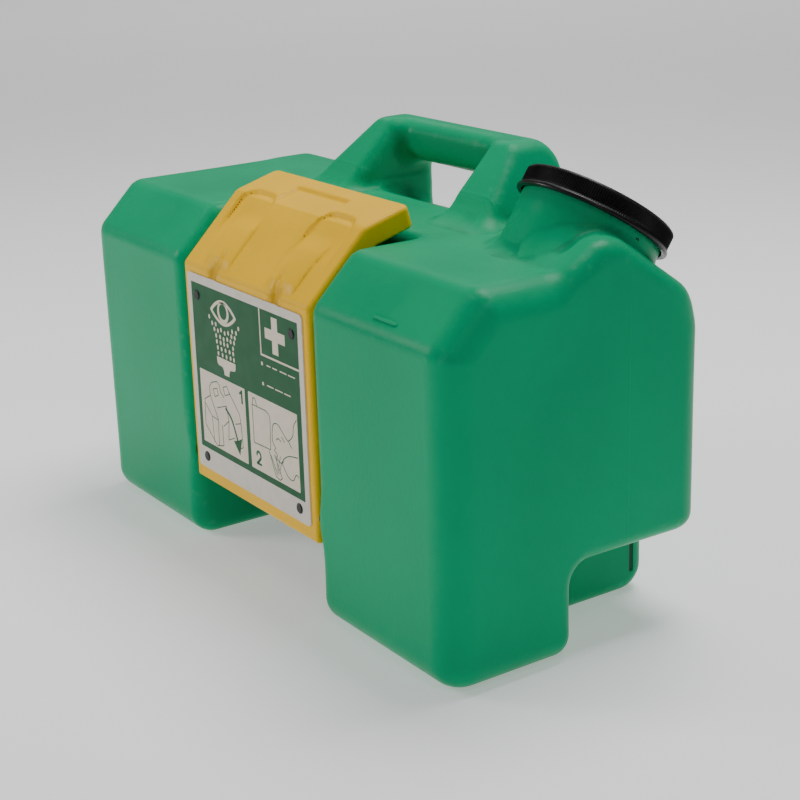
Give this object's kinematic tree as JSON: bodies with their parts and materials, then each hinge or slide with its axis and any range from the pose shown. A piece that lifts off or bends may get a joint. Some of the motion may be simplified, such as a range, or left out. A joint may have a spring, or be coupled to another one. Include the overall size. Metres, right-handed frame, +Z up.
{
  "type": "eyewash station",
  "caption": "Portable gravity-fed eyewash station: green moulded water tank with handle and leaning screw cap, and a yellow pull-down arm with spray heads.",
  "frame": {"origin": "on the floor plane, under the middle of the tank block's width and depth", "axes": "+Z up, +X to the right seen from the front, -Y out of the front where the arm is"},
  "size_m": [0.55, 0.2486, 0.3558],
  "materials": {
    "tank_green": "satin blow-moulded plastic, fine mould grain",
    "arm_yellow": "semi-gloss moulded plastic",
    "placard": "printed sign plate, satin",
    "black_plastic": "satin moulded plastic",
    "hose_rubber": "matt rubber hose",
    "soft_rubber": "matt rubber",
    "foam": "closed-cell foam liner",
    "white_plastic": "satin moulded plastic",
    "nylon": "machined nylon",
    "steel": "brushed stainless steel",
    "brass": "turned brass"
  },
  "bodies": {
    "tank": {"tank_shell": "tank_green", "left_outlet_fitting": "black_plastic", "right_outlet_fitting": "black_plastic", "outlet_gaskets": "soft_rubber", "outlet_nuts": "black_plastic", "outlet_strainers": "white_plastic", "left_hose": "hose_rubber", "right_hose": "hose_rubber", "tank_hose_clamps": "steel", "hinge_inserts": "brass", "hinge_pins": "steel"},
    "arm": {"arm_shell": "arm_yellow", "hinge_bushes": "nylon", "placard": "placard", "placard_rivets": "black_plastic", "left_nozzle": "white_plastic", "right_nozzle": "white_plastic", "left_spray_plate": "steel", "right_spray_plate": "steel", "nozzle_screws": "steel", "arm_hose_clamps": "steel", "arm_inner_panel": "white_plastic", "panel_screws": "steel", "arm_bumpers": "soft_rubber"},
    "cap_seal": {"cap_liner": "foam"},
    "cap": {"fill_cap": "black_plastic"}
  },
  "joints": [
    {"name": "arm_swing", "type": "hinge", "parent": "tank", "child": "arm", "pos_m": [0, -0.108, 0.084], "axis": [1, 0, 0], "range_deg": [0, 135], "deforming": ["left_hose", "right_hose"]},
    {"name": "cap_lift", "type": "slide", "parent": "tank", "child": "cap_seal", "axis": [0, 0.5764, 0.8171], "range_m": [0, 0.018]},
    {"name": "cap_turn", "type": "hinge", "parent": "cap_seal", "child": "cap", "pos_m": [0.2002, 0.0691, 0.3077], "axis": [0, 0.5764, 0.8171], "range_deg": [0, 721]}
  ],
  "couplings": [
    {"joint": "cap_turn", "follows": "cap_lift", "rad_per_m": 698.13}
  ]
}
